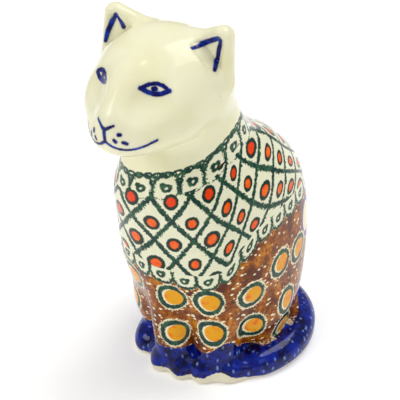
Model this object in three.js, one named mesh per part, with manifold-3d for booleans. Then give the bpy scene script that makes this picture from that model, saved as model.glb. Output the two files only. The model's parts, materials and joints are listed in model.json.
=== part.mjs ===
// Souvenir figurine: a hollow stoneware cat sitting upright on a thin foot, its tail laid round its left side.
// The pieces are the potter's castings, luted together while damp: body, head, ears, paws, tail and foot.
// Millimetres, +Z up. The cat faces -Y and its left side is +X. The origin is the middle of the
// bounding box, on the surface that the cat stands on.
import * as THREE from "three";
import { mergeVertices } from "three/addons/utils/BufferGeometryUtils.js";
import Module from "manifold-3d";

const wasm = await Module();
wasm.setup();

// Driving dimensions
const WALL = 4.5; // wall of the castings
const SEAM_GAP = 0.3; // between two castings
const FOOT_HEIGHT = 4; // the disc that closes the bottom
const FOOT_EDGE_RADIUS = 3;
const FOOT_BEVEL = 0.8; // the foot's lower and upper edges
const FOOT_OUTLINE_POINTS = 96;
const FOOT_RING_WIDTH = 9; // dry ring that stands on the table
const FOOT_RECESS_DEPTH = 1.2;
const DRAIN_RADIUS = 6; // vent through the foot
const CAVITY_FLOOR = 11; // the hollow ends above the paws
const CAVITY_TOP = 144; // and under the crown
const NECK_SEAM = { middle: [0, -15, 104], nod: 12 }; // the head's casting sits on this plane
const FRONT_PAW_SEAM = { middle: [11.3, -32, 3], radii: [12.2, 9, 10] }; // a ball parts each left paw,
const HIND_PAW_SEAM = { middle: [27, -12.5, 3], radii: [8, 12.5, 8.5] }; // and its mirror the right one
const EAR_SEAM_DISTANCE = 20.5; // from the middle of the head, along the ear's lean
const EAR_FLOOR = 1.6; // clay left between the seam and the ear's hollow
const EAR_LEAN = 40; // from upright, in degrees
const BODY_TURN = 16; // the legs face a little to the left of the face, in degrees
const TAIL_TIP_ANGLE = THREE.MathUtils.degToRad(-34); // round the foot's outline, from +X
const TAIL_ROOT_ANGLE = THREE.MathUtils.degToRad(105);
const TAIL_TIP_RADIUS = 5;
const TAIL_ROOT_RADIUS = 6.5;
const TAIL_BED = [29.5, 31]; // half width and half depth of the wall that the tail lies against
const TAIL_BED_HEIGHT = 10;
const FOOT_RADII = [37, 37.5]; // half width and half depth of the foot's outline
const FOOT_MIDDLE = [4, 4.2]; // from the trunk's axis
const TRUNK_AXIS = [-2.58, 8.51]; // where the upright axis of the trunk stands, from the box's middle
const HEAD_MIDDLE = [-1.6, -22, 132]; // from the trunk's axis
const TRUNK_TOP = 124;
const TRUNK_SQUARENESS = 2.35; // 2 is an ellipse, more is squarer
const COARSE = 5; // size of a facet on the body and head
const FINE = 2.5; // on the ears and paws
const CAVITY_FACET = 8;

// Trunk sections: height, half width, half depth, and how far the middle lies behind the axis
const TRUNK_SECTIONS = [
  [0, 28.5, 30, 6.2],
  [14, 29.5, 31.5, 6.6],
  [30, 33.2, 36.6, 5.6],
  [50, 35.4, 40.3, 3.3],
  [68, 35.4, 40.2, 2],
  [82, 33.8, 38.2, -1],
  [94, 28.5, 32, -5],
  [104, 23.5, 23, -11.5],
  [114, 21.5, 19, -14],
  [TRUNK_TOP, 20, 17, -15],
];

// Distance functions: each returns a function of a point, negative inside the clay.
const blendOf = (a, b, radius) => {
  const h = Math.max(radius - Math.abs(a - b), 0) / radius;
  return Math.min(a, b) - (h * h * radius) / 4;
};
const join = (radius, ...shapes) => (p) =>
  shapes.reduce((d, shape) => blendOf(d, shape(p), radius), Infinity);
const carve = (radius, shape, tool) => (p) => -blendOf(-shape(p), tool(p), radius);
const above = (height) => (p) => height - p.z;
const below = (height) => (p) => p.z - height;
const mirrored = (shape) => (p) => shape(new THREE.Vector3(Math.abs(p.x), p.y, p.z));
const moved = ([x, y, z], shape) => (p) => shape(new THREE.Vector3(p.x - x, p.y - y, p.z - z));
const UP = new THREE.Vector3(0, 0, 1);
const turned = (degrees, shape) => (p) =>
  shape(p.clone().applyAxisAngle(UP, THREE.MathUtils.degToRad(-degrees)));

// An ellipsoid, nodding about X by an angle in degrees.
function ellipsoid([x, y, z], [rx, ry, rz], nod = 0) {
  const c = Math.cos((nod * Math.PI) / 180);
  const s = Math.sin((nod * Math.PI) / 180);
  return (p) => {
    const u = p.x - x;
    const v = (p.y - y) * c + (p.z - z) * s;
    const w = (p.z - z) * c - (p.y - y) * s;
    const k = Math.hypot(u / rx, v / ry, w / rz);
    const g = Math.hypot(u / rx ** 2, v / ry ** 2, w / rz ** 2) + 1e-12;
    return (k * (k - 1)) / g;
  };
}

// A rod with round ends that tapers from radius ra at a to rb at b.
function rod(a, b, ra, rb) {
  const from = new THREE.Vector3(...a);
  const line = new THREE.Vector3(...b).sub(from);
  return (p) => {
    const q = p.clone().sub(from);
    const t = THREE.MathUtils.clamp(q.dot(line) / line.lengthSq(), 0, 1);
    return q.addScaledVector(line, -t).length() - ra - (rb - ra) * t;
  };
}

// A thick triangular leaf with a round rim.
function leaf(a, b, c, radius) {
  const triangle = new THREE.Triangle(
    new THREE.Vector3(...a),
    new THREE.Vector3(...b),
    new THREE.Vector3(...c),
  );
  const nearest = new THREE.Vector3();
  return (p) => triangle.closestPointToPoint(p, nearest).distanceTo(p) - radius;
}

// The trunk's section at a height, on a smooth curve through the sections.
function trunkSection(z) {
  const rows = TRUNK_SECTIONS;
  const height = THREE.MathUtils.clamp(z, 0, TRUNK_TOP);
  let i = 0;
  while (i < rows.length - 2 && height > rows[i + 1][0]) i += 1;
  const span = rows[i + 1][0] - rows[i][0];
  const t = (height - rows[i][0]) / span;
  const slope = (row, column) => {
    const before = rows[Math.max(row - 1, 0)];
    const after = rows[Math.min(row + 1, rows.length - 1)];
    return (after[column] - before[column]) / (after[0] - before[0]);
  };
  return [1, 2, 3].map(
    (column) =>
      (2 * t ** 3 - 3 * t ** 2 + 1) * rows[i][column] +
      (t ** 3 - 2 * t ** 2 + t) * span * slope(i, column) +
      (3 * t ** 2 - 2 * t ** 3) * rows[i + 1][column] +
      (t ** 3 - t ** 2) * span * slope(i + 1, column),
  );
}

function trunkColumn(p) {
  const [halfWidth, halfDepth, middle] = trunkSection(p.z);
  const n = TRUNK_SQUARENESS;
  const u = Math.abs(p.x) / halfWidth;
  const v = Math.abs(p.y - middle) / halfDepth;
  const side = ((u ** n + v ** n) ** (1 / n) - 1) * Math.min(halfWidth, halfDepth);
  return -blendOf(-side, TRUNK_TOP - p.z, 6);
}

const frontLegs = mirrored(rod([9.5, -25.5, 62], [8.8, -25, 8], 10, 9.5));
const haunches = mirrored(ellipsoid([21.5, 4, 26], [13.5, 26, 25], 8));
const toes = join(
  1.5,
  mirrored(ellipsoid([4.9, -27.5, 3], [6, 9.5, 8.5])),
  mirrored(ellipsoid([14.6, -25, 3], [6, 9, 8])),
);
const hindPaws = mirrored(ellipsoid([24.5, -13, 3], [7.5, 11, 8]));

const bareSkull = join(
  7,
  join(
    8,
    ellipsoid([0, 1, -0.5], [26.6, 22, 19.8]),
    ellipsoid([0, -12, -1.5], [20.3, 19.5, 14]), // brow
  ),
  mirrored(ellipsoid([11.5, -13, -7.5], [12, 14, 10.5])), // cheeks
  ellipsoid([0.8, -24, -10], [14.5, 14.5, 9.5]), // muzzle
  rod([0.5, -20, 6.5], [0.9, -31.5, -3], 4.6, 4.6), // bridge of the nose
);
const eyeSockets = mirrored(ellipsoid([14, -30.2, 5], [6, 6.5, 4.5]));
const skull = moved(HEAD_MIDDLE, carve(7, bareSkull, eyeSockets));
const leftEar = leaf([11.5, 7, 13], [24, 2, 2], [23.6, 4.5, 18.3], 4.3);
const rightEar = leaf([-11.5, 7, 13], [-25.5, 1.5, 1], [-24.2, 4.5, 18.3], 4.3);
const ears = moved(HEAD_MIDDLE, (p) => Math.min(leftEar(p), rightEar(p)));
const lean = THREE.MathUtils.degToRad(EAR_LEAN);
const alongEar = (p) => p.x * Math.sin(lean) + p.z * Math.cos(lean);
const hollowLeaf = leaf([14.6, 0, 12.2], [22, -1.6, 6], [23.2, 0.4, 16.6], 2.4);
const earHollows = moved(
  HEAD_MIDDLE,
  mirrored((p) => Math.max(hollowLeaf(p), EAR_SEAM_DISTANCE + EAR_FLOOR - alongEar(p))),
);

// The tail: a ridge that follows the flange's left side, thinner towards its tip in front.
function tailRidge(p) {
  const angle = Math.atan2(p.y - FOOT_MIDDLE[1], p.x - FOOT_MIDDLE[0]);
  const along = THREE.MathUtils.clamp(angle, TAIL_TIP_ANGLE, TAIL_ROOT_ANGLE);
  const share = (along - TAIL_TIP_ANGLE) / (TAIL_ROOT_ANGLE - TAIL_TIP_ANGLE);
  const radius = THREE.MathUtils.lerp(TAIL_TIP_RADIUS, TAIL_ROOT_RADIUS, share);
  const x = FOOT_MIDDLE[0] + (FOOT_RADII[0] - radius) * Math.cos(along);
  const y = FOOT_MIDDLE[1] + (FOOT_RADII[1] - radius) * Math.sin(along);
  return Math.hypot(p.x - x, p.y - y, p.z - radius) - radius;
}

// The flange that the cat stands on, with a rounded edge.
function flange(p) {
  const u = p.x - FOOT_MIDDLE[0];
  const v = p.y - FOOT_MIDDLE[1];
  const k = Math.hypot(u / FOOT_RADII[0], v / FOOT_RADII[1]);
  const g = Math.hypot(u / FOOT_RADII[0] ** 2, v / FOOT_RADII[1] ** 2) + 1e-9;
  const outward = (k * (k - 1)) / g + FOOT_EDGE_RADIUS;
  const upward = Math.abs(p.z - FOOT_HEIGHT) - FOOT_HEIGHT + FOOT_EDGE_RADIUS;
  const inside = Math.min(Math.max(outward, upward), 0);
  return inside + Math.hypot(Math.max(outward, 0), Math.max(upward, 0)) - FOOT_EDGE_RADIUS;
}

// Whole outsides, before they are cut into castings
const leggedTrunk = join(4, trunkColumn, turned(BODY_TURN, frontLegs));
const trunk = join(3, leggedTrunk, turned(BODY_TURN, haunches));
const paws = join(3, turned(BODY_TURN, toes), turned(BODY_TURN, hindPaws));
const pawedTrunk = join(4, join(3, trunk, paws), flange);
const plainCat = carve(1, join(7, join(3, pawedTrunk, tailRidge), skull), below(0));
const earedCat = carve(3, join(4, plainCat, ears), earHollows);
const thinned = carve(2, (p) => join(7, trunkColumn, skull)(p) + WALL, (p) => ears(p) - 1);
const cavity = carve(4, carve(4, thinned, below(CAVITY_FLOOR)), above(CAVITY_TOP));

// The part of a shape that lies in a box.
const boxed = (shape, low, high) => (p) =>
  Math.max(
    shape(p),
    low[0] - p.x,
    p.x - high[0],
    low[1] - p.y,
    p.y - high[1],
    low[2] - p.z,
    p.z - high[2],
  );

// The surface where a distance function is zero, as a closed mesh: one vertex in each cell of a
// grid that the surface crosses, and one quadrilateral round each grid edge that it crosses.
function surfaceOf(shape, low, high, cell) {
  const count = low.map((v, i) => Math.ceil((high[i] - v) / cell) + 1);
  const at = (i, j, k) => (k * count[1] + j) * count[0] + i;
  const values = new Float64Array(count[0] * count[1] * count[2]);
  const p = new THREE.Vector3();
  for (let k = 0; k < count[2]; k += 1)
    for (let j = 0; j < count[1]; j += 1)
      for (let i = 0; i < count[0]; i += 1) {
        p.set(low[0] + i * cell, low[1] + j * cell, low[2] + k * cell);
        values[at(i, j, k)] = shape(p);
      }
  const strides = [1, count[0], count[0] * count[1]];
  const vertexOf = new Map();
  const positions = [];
  const vertexIn = (cellIndex) => {
    if (vertexOf.has(cellIndex)) return vertexOf.get(cellIndex);
    const origin = [
      cellIndex % count[0],
      Math.floor(cellIndex / count[0]) % count[1],
      Math.floor(cellIndex / strides[2]),
    ];
    const sum = new THREE.Vector3();
    let crossings = 0;
    for (let axis = 0; axis < 3; axis += 1)
      for (let corner = 0; corner < 4; corner += 1) {
        const u = (axis + 1) % 3;
        const v = (axis + 2) % 3;
        const start = cellIndex + (corner & 1) * strides[u] + (corner >> 1) * strides[v];
        const a = values[start];
        const b = values[start + strides[axis]];
        if (a < 0 === b < 0) continue;
        const offset = [0, 0, 0];
        offset[axis] = a / (a - b);
        offset[u] = corner & 1;
        offset[v] = corner >> 1;
        sum.add(new THREE.Vector3(...offset));
        crossings += 1;
      }
    sum.divideScalar(crossings);
    const place = new THREE.Vector3(...low.map((v, i) => v + (origin[i] + sum.getComponent(i)) * cell));
    settle(shape, place);
    vertexOf.set(cellIndex, positions.length / 3);
    positions.push(place.x, place.y, place.z);
    return vertexOf.get(cellIndex);
  };
  const triangles = [];
  for (let k = 1; k < count[2] - 1; k += 1)
    for (let j = 1; j < count[1] - 1; j += 1)
      for (let i = 1; i < count[0] - 1; i += 1)
        for (let axis = 0; axis < 3; axis += 1) {
          const here = at(i, j, k);
          const inside = values[here] < 0;
          if (inside === values[here + strides[axis]] < 0) continue;
          const u = strides[(axis + 1) % 3];
          const v = strides[(axis + 2) % 3];
          const ring = [here - u - v, here - v, here, here - u].map(vertexIn);
          if (!inside) ring.reverse();
          triangles.push(ring[0], ring[1], ring[2], ring[0], ring[2], ring[3]);
        }
  const geometry = new THREE.BufferGeometry();
  geometry.setAttribute("position", new THREE.Float32BufferAttribute(positions, 3));
  geometry.setIndex(triangles);
  return geometry;
}

// Moves a point onto a distance function's surface, along its slope.
function settle(shape, p) {
  const STEP = 0.05;
  for (let round = 0; round < 2; round += 1) {
    const distance = shape(p);
    const slope = new THREE.Vector3(
      shape(p.clone().setX(p.x + STEP)) - distance,
      shape(p.clone().setY(p.y + STEP)) - distance,
      shape(p.clone().setZ(p.z + STEP)) - distance,
    ).divideScalar(STEP);
    p.addScaledVector(slope, -distance / Math.max(slope.lengthSq(), 0.25));
  }
}

function solidOf(geometry) {
  const bare = new THREE.BufferGeometry();
  bare.setAttribute("position", geometry.getAttribute("position").clone());
  bare.setIndex(geometry.getIndex());
  const merged = mergeVertices(bare, 1e-4);
  return new wasm.Manifold(
    new wasm.Mesh({
      numProp: 3,
      vertProperties: new Float32Array(merged.getAttribute("position").array),
      triVerts: new Uint32Array(merged.getIndex().array),
    }),
  );
}

function geometryOf(solid) {
  const { numProp, numVert, vertProperties, triVerts } = solid.getMesh();
  const positions = new Float32Array(numVert * 3);
  for (let i = 0; i < numVert; i += 1)
    positions.set(vertProperties.subarray(i * numProp, i * numProp + 3), i * 3);
  const geometry = new THREE.BufferGeometry();
  geometry.setAttribute("position", new THREE.BufferAttribute(positions, 3));
  geometry.setIndex(new THREE.BufferAttribute(new Uint32Array(triVerts), 1));
  geometry.computeVertexNormals();
  return geometry;
}

// The largest body of a solid, without slivers left by a cut.
function mainBody(solid) {
  return solid.decompose().sort((a, b) => b.volume() - a.volume())[0];
}

// Cutting tools, each grown by a margin so that half a seam's gap lies on either side of the cut
function blockTool([lowX, lowY, lowZ], [highX, highY, highZ], turn, margin) {
  const box = new THREE.BoxGeometry(
    highX - lowX + 2 * margin,
    highY - lowY + 2 * margin,
    highZ - lowZ + 2 * margin,
  );
  box.translate((lowX + highX) / 2, (lowY + highY) / 2, (lowZ + highZ) / 2);
  box.applyMatrix4(turn);
  return solidOf(box);
}

function ballTool([x, y, z], [rx, ry, rz], margin) {
  const ball = new THREE.SphereGeometry(1, 28, 14);
  ball.scale(rx + margin, ry + margin, rz + margin);
  ball.translate(x, y, z);
  return solidOf(ball);
}

// The crescent of the flange that belongs to the tail, seen from above.
function tailTool(margin) {
  const crescent = new THREE.Shape();
  const [x, y] = FOOT_MIDDLE;
  const reach = 1.3 * Math.max(...FOOT_RADII);
  const tip = TAIL_TIP_ANGLE - margin / FOOT_RADII[0];
  const root = TAIL_ROOT_ANGLE + margin / FOOT_RADII[0];
  crescent.absellipse(x, y, reach, reach, tip, root, false);
  crescent.absellipse(x - 2, y, TAIL_BED[0] - margin, TAIL_BED[1] - margin, root, tip, true);
  crescent.closePath();
  const prism = new THREE.ExtrudeGeometry(crescent, {
    depth: TAIL_BED_HEIGHT + 2 * margin,
    bevelEnabled: false,
    curveSegments: 24,
  });
  prism.translate(0, 0, FOOT_HEIGHT - margin);
  return solidOf(prism);
}

const turnedAt = ([x, y, z], turn) => new THREE.Matrix4().makeTranslation(x, y, z).multiply(turn);
const headTool = (margin) =>
  blockTool(
    [-60, -80, 0],
    [60, 60, 90],
    turnedAt(
      NECK_SEAM.middle,
      new THREE.Matrix4().makeRotationX(THREE.MathUtils.degToRad(NECK_SEAM.nod)),
    ),
    margin,
  );
const earTool = (side, margin) =>
  blockTool(
    [-14, -16, EAR_SEAM_DISTANCE],
    [14, 18, EAR_SEAM_DISTANCE + 20],
    turnedAt(
      HEAD_MIDDLE,
      new THREE.Matrix4().makeRotationY(THREE.MathUtils.degToRad(side * EAR_LEAN)),
    ),
    margin,
  );
const footTool = (margin) =>
  blockTool([-60, -60, -5], [60, 60, FOOT_HEIGHT], new THREE.Matrix4(), margin);
const sideTool = (side, margin) =>
  blockTool([side > 0 ? 0 : -60, -60, -20], [side > 0 ? 60 : 0, 60, 60], new THREE.Matrix4(), margin);
const pawTool = ({ middle: [x, y, z], radii }, side, margin) =>
  ballTool([side * x, y, z], radii, margin)
    .intersect(sideTool(side, margin))
    .rotate([0, 0, BODY_TURN]);

// The foot's outline at a height, seen from above: how far the clay reaches in each direction.
function footOutline(height) {
  const points = [];
  for (let i = 0; i < FOOT_OUTLINE_POINTS; i += 1) {
    const angle = (2 * Math.PI * i) / FOOT_OUTLINE_POINTS;
    const [x, y] = FOOT_MIDDLE;
    let near = 0;
    let far = 2 * FOOT_RADII[1];
    while (far - near > 1e-3) {
      const reach = (near + far) / 2;
      const p = new THREE.Vector3(x + reach * Math.cos(angle), y + reach * Math.sin(angle), height);
      if (plainCat(p) < 0) near = reach;
      else far = reach;
    }
    points.push(new THREE.Vector2(x + near * Math.cos(angle), y + near * Math.sin(angle)));
  }
  return new THREE.Shape(points);
}

// Every casting keeps half the seam's gap on its own side of each cut.
const half = SEAM_GAP / 2;
const outside = solidOf(surfaceOf(plainCat, [-46, -70, -6], [52, 54, 164], COARSE));
const hollow = solidOf(surfaceOf(cavity, [-52, -72, 0], [52, 60, 160], CAVITY_FACET));
const aboveFoot = outside.subtract(footTool(half));

const pieces = {};
const shell = aboveFoot
  .subtract(hollow)
  .subtract(pawTool(FRONT_PAW_SEAM, -1, half))
  .subtract(pawTool(FRONT_PAW_SEAM, 1, half))
  .subtract(pawTool(HIND_PAW_SEAM, -1, half))
  .subtract(pawTool(HIND_PAW_SEAM, 1, half))
  .subtract(tailTool(half));
pieces.body_shell = shell.subtract(headTool(half));
pieces.head_shell = shell
  .intersect(headTool(-half))
  .subtract(earTool(-1, half))
  .subtract(earTool(1, half));
for (const [side, name] of [[-1, "right"], [1, "left"]]) {
  const [x, y, z] = HEAD_MIDDLE;
  const low = [x + side * 20 - 16, y - 14, z - 8];
  const high = [x + side * 20 + 16, y + 24, z + 30];
  const nearEar = low.map((v, i) => [v - 2 * FINE, high[i] + 2 * FINE]);
  const eared = surfaceOf(
    boxed(earedCat, low, high),
    nearEar.map((range) => range[0]),
    nearEar.map((range) => range[1]),
    FINE,
  );
  pieces["ear_" + name] = solidOf(eared).intersect(earTool(side, -half));
  for (const [paw, seam] of [["front_paw_", FRONT_PAW_SEAM], ["hind_paw_", HIND_PAW_SEAM]])
    pieces[paw + name] = aboveFoot.intersect(pawTool(seam, side, -half)).subtract(tailTool(half));
}
pieces.tail = aboveFoot.intersect(tailTool(-half));

const footPrism = new THREE.ExtrudeGeometry(footOutline(FOOT_HEIGHT / 2), {
  depth: FOOT_HEIGHT - half - 2 * FOOT_BEVEL,
  bevelSize: FOOT_BEVEL,
  bevelThickness: FOOT_BEVEL,
  bevelOffset: -FOOT_BEVEL,
  bevelSegments: 1,
});
footPrism.translate(0, 0, FOOT_BEVEL);
const recess = new THREE.CylinderGeometry(1, 1, 2 * FOOT_RECESS_DEPTH, 48).rotateX(Math.PI / 2);
recess.scale(FOOT_RADII[0] - FOOT_RING_WIDTH, FOOT_RADII[1] - FOOT_RING_WIDTH, 1);
recess.translate(FOOT_MIDDLE[0], FOOT_MIDDLE[1], 0);
const drain = new THREE.CylinderGeometry(DRAIN_RADIUS, DRAIN_RADIUS, 4 * FOOT_HEIGHT, 32);
drain.rotateX(Math.PI / 2);
drain.translate(FOOT_MIDDLE[0], FOOT_MIDDLE[1], 0);
pieces.foot_disc = solidOf(footPrism).subtract(solidOf(recess)).subtract(solidOf(drain));

// Glazes and bare clay
const cream = { color: 0xe6dec2, roughness: 0.18 };
const brown = { color: 0x8a4b16, roughness: 0.2 };
const cobalt = { color: 0x1c2a86, roughness: 0.2 };
const bisque = { color: 0xe2d8bf, roughness: 0.7 };
const glazes = {
  head_shell: cream,
  ear_right: cream,
  ear_left: cream,
  body_shell: brown,
  front_paw_right: cobalt,
  front_paw_left: cobalt,
  hind_paw_right: cobalt,
  hind_paw_left: cobalt,
  tail: cobalt,
  foot_disc: bisque,
};

const figurine = new THREE.Group();
figurine.position.set(...TRUNK_AXIS, 0);
for (const [name, glaze] of Object.entries(glazes)) {
  const material = new THREE.MeshStandardMaterial({ metalness: 0, ...glaze });
  const mesh = new THREE.Mesh(geometryOf(mainBody(pieces[name])), material);
  mesh.name = name;
  figurine.add(mesh);
}
const souvenir = new THREE.Group();
souvenir.add(figurine);

export default souvenir;
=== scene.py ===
# Souvenir figurine: a hollow stoneware cat on a thin foot, painted with underglaze colours and glazed.
# Lengths are millimetres from the trunk's upright axis until a mesh is made; Blender gets metres.
import json
import math

import bmesh
import bpy
import numpy as np
from mathutils import Matrix, Vector

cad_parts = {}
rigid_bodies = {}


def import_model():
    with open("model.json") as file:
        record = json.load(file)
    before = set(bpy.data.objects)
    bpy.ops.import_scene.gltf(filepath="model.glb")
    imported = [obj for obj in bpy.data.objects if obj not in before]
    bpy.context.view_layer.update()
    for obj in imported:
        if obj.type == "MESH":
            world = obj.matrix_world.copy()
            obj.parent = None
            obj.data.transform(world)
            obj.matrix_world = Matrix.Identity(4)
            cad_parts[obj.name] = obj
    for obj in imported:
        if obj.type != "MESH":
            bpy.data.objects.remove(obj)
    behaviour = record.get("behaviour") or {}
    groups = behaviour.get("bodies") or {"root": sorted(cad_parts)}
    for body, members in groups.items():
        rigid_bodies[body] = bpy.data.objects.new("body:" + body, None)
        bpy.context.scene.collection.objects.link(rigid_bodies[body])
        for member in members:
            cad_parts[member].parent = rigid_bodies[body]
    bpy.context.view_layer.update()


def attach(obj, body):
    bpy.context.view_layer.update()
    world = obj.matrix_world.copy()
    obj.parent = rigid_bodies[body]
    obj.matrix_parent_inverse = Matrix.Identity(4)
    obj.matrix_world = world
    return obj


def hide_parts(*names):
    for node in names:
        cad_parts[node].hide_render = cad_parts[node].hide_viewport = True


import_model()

# Driving dimensions. Those of the shape are the same as in part.mjs.
WALL = 4.5
FOOT_HEIGHT = 4
FOOT_EDGE_RADIUS = 3
FOOT_RING_WIDTH = 9
FOOT_RECESS_DEPTH = 1.2
DRAIN_RADIUS = 6
CAVITY_FLOOR = 11
CAVITY_TOP = 144
NECK_SEAM_MIDDLE = (0, -15, 104)
NECK_SEAM_NOD = 12
EAR_SEAM_DISTANCE = 20.5
EAR_FLOOR = 1.6  # clay left between the seam and the ear's hollow
EAR_LEAN = 40
BODY_TURN = 16  # the legs and haunches face a little to the cat's left of its face, in degrees
TAIL_TIP_ANGLE = -34  # round the foot's outline, from +X, in degrees
TAIL_ROOT_ANGLE = 105
TAIL_TIP_RADIUS = 5
TAIL_ROOT_RADIUS = 6.5
TAIL_BED = (29.5, 31)
TAIL_BED_HEIGHT = 10
FOOT_RADII = (37, 37.5)
FOOT_MIDDLE = (4, 4.2)
TRUNK_AXIS = (-2.58, 8.51)  # where the trunk's axis stands in the model's frame
HEAD_MIDDLE = (-1.6, -22, 132)
TRUNK_TOP = 124
TRUNK_SQUARENESS = 2.35
TRUNK_TOP_ROUNDING = 6
FINE_CELL = 0.8  # facets of the visible surface
CAVITY_CELL = 3
CAT_BOX = ((-46, -66, -3), (52, 50, 160))  # where the surfaces are looked for
CAVITY_BOX = ((-46, -66, 2), (46, 54, 152))
OUTSIDE_TOLERANCE = 0.08  # a vertex of the outside lies this close to the cat's surface
SHARP_EDGE_COSINE = 0.7  # a face that turns further than this from the cat's slope is a cut face
FAR_AWAY = 1e9
TINY = 1e-9  # keeps a division off zero

# Trunk sections: height, half width, half depth, and how far the middle lies behind the axis
TRUNK_SECTIONS = [
    (0, 28.5, 30, 6.2),
    (14, 29.5, 31.5, 6.6),
    (30, 33.2, 36.6, 5.6),
    (50, 35.4, 40.3, 3.3),
    (68, 35.4, 40.2, 2),
    (82, 33.8, 38.2, -1),
    (94, 28.5, 32, -5),
    (104, 23.5, 23, -11.5),
    (114, 21.5, 19, -14),
    (TRUNK_TOP, 20, 17, -15),
]
MIRROR = np.array([0, 1, 1], np.float32)

# Middle and radii of the balls that part the left paws from the body
FRONT_PAW_CUT = ((11.3, -32, 3), (12.2, 9, 10))
HIND_PAW_CUT = ((27, -12.5, 3), (8, 12.5, 8.5))


# Distance functions: each returns a function of an array of points, negative inside the clay.
def blend_of(a, b, radius):
    h = np.maximum(radius - np.abs(a - b), 0) / radius
    return np.minimum(a, b) - h * h * radius / 4


def join(radius, *shapes):
    def distance(p):
        d = shapes[0](p)
        for shape in shapes[1:]:
            d = blend_of(d, shape(p), radius)
        return d
    return distance


def carve(radius, shape, tool):
    return lambda p: -blend_of(-shape(p), tool(p), radius)


def above(height):
    return lambda p: height - p[..., 2]


def below(height):
    return lambda p: p[..., 2] - height


def mirrored(shape):
    return lambda p: shape(p * MIRROR + np.abs(p) * (1 - MIRROR))


def moved(offset, shape):
    return lambda p: shape(p - np.array(offset, p.dtype))


def turned(degrees, shape):
    """The shape turned about the upright axis, towards the cat's left."""
    c = math.cos(math.radians(degrees))
    s = math.sin(math.radians(degrees))
    turn = np.array([[c, -s, 0], [s, c, 0], [0, 0, 1]], np.float32)
    return lambda p: shape(p @ turn)


def ellipsoid(middle, radii, nod=0):
    """An ellipsoid, nodding about X by an angle in degrees."""
    c = math.cos(math.radians(nod))
    s = math.sin(math.radians(nod))
    turn = np.array([[1, 0, 0], [0, c, -s], [0, s, c]], np.float32)
    radii = np.array(radii, np.float32)

    def distance(p):
        q = ((p - np.array(middle, p.dtype)) @ turn) / radii
        k = np.linalg.norm(q, axis=-1)
        return k * (k - 1) / (np.linalg.norm(q / radii, axis=-1) + TINY)
    return distance


def rod(start, end, start_radius, end_radius):
    """A rod with round ends that tapers from one radius to the other."""
    start = np.array(start, np.float32)
    line = np.array(end, np.float32) - start

    def distance(p):
        q = p - start
        t = np.clip((q @ line) / (line @ line), 0, 1)
        reach = np.linalg.norm(q - t[..., None] * line, axis=-1)
        return reach - start_radius - (end_radius - start_radius) * t
    return distance


def leaf(a, b, c, radius):
    """A thick triangular leaf with a round rim."""
    corners = [np.array(v, np.float32) for v in (a, b, c)]
    normal = np.cross(corners[1] - corners[0], corners[2] - corners[0])
    normal /= np.linalg.norm(normal)

    def distance(p):
        height = (p - corners[0]) @ normal
        flat = p - height[..., None] * normal
        inside = np.ones(height.shape, bool)
        reach = np.full(height.shape, FAR_AWAY, np.float32)
        for i in range(3):
            edge = corners[(i + 1) % 3] - corners[i]
            q = flat - corners[i]
            t = np.clip((q @ edge) / (edge @ edge), 0, 1)
            reach = np.minimum(reach, np.linalg.norm(q - t[..., None] * edge, axis=-1))
            inside &= np.cross(edge, q) @ normal >= 0
        reach = np.where(inside, 0, reach)
        return np.sqrt(reach * reach + height * height) - radius
    return distance


def trunk_section(z):
    """Half width, half depth and middle of the trunk at a height, on a smooth curve."""
    rows = np.array(TRUNK_SECTIONS, np.float32)
    height = np.clip(z, 0, TRUNK_TOP)
    slopes = np.empty_like(rows)
    slopes[1:-1] = (rows[2:] - rows[:-2]) / (rows[2:, :1] - rows[:-2, :1])
    slopes[0] = (rows[1] - rows[0]) / (rows[1, 0] - rows[0, 0])
    slopes[-1] = (rows[-1] - rows[-2]) / (rows[-1, 0] - rows[-2, 0])
    i = np.clip(np.searchsorted(rows[:, 0], height, side="right") - 1, 0, len(rows) - 2)
    span = rows[i + 1, 0] - rows[i, 0]
    t = (height - rows[i, 0]) / span
    return [
        (2 * t ** 3 - 3 * t ** 2 + 1) * rows[i, column]
        + (t ** 3 - 2 * t ** 2 + t) * span * slopes[i, column]
        + (3 * t ** 2 - 2 * t ** 3) * rows[i + 1, column]
        + (t ** 3 - t ** 2) * span * slopes[i + 1, column]
        for column in (1, 2, 3)
    ]


def trunk_column(p):
    half_width, half_depth, middle = trunk_section(p[..., 2])
    u = np.abs(p[..., 0]) / half_width
    v = np.abs(p[..., 1] - middle) / half_depth
    n = TRUNK_SQUARENESS
    side = ((u ** n + v ** n) ** (1 / n) - 1) * np.minimum(half_width, half_depth)
    return -blend_of(-side, TRUNK_TOP - p[..., 2], TRUNK_TOP_ROUNDING)


def flange(p):
    """The flange that the cat stands on, with a rounded edge."""
    radii = np.array(FOOT_RADII, np.float32)
    q = (p[..., :2] - np.array(FOOT_MIDDLE, p.dtype)) / radii
    k = np.linalg.norm(q, axis=-1)
    outward = k * (k - 1) / (np.linalg.norm(q / radii, axis=-1) + TINY) + FOOT_EDGE_RADIUS
    upward = np.abs(p[..., 2] - FOOT_HEIGHT) - FOOT_HEIGHT + FOOT_EDGE_RADIUS
    inside = np.minimum(np.maximum(outward, upward), 0)
    return inside + np.hypot(np.maximum(outward, 0), np.maximum(upward, 0)) - FOOT_EDGE_RADIUS


def tail_ridge(p):
    """The tail, which follows the flange's left side and thins towards its tip in front."""
    x = p[..., 0] - FOOT_MIDDLE[0]
    y = p[..., 1] - FOOT_MIDDLE[1]
    tip = math.radians(TAIL_TIP_ANGLE)
    root = math.radians(TAIL_ROOT_ANGLE)
    along = np.clip(np.arctan2(y, x), tip, root)
    radius = TAIL_TIP_RADIUS + (TAIL_ROOT_RADIUS - TAIL_TIP_RADIUS) * (along - tip) / (root - tip)
    dx = x - (FOOT_RADII[0] - radius) * np.cos(along)
    dy = y - (FOOT_RADII[1] - radius) * np.sin(along)
    return np.sqrt(dx * dx + dy * dy + (p[..., 2] - radius) ** 2) - radius


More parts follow.
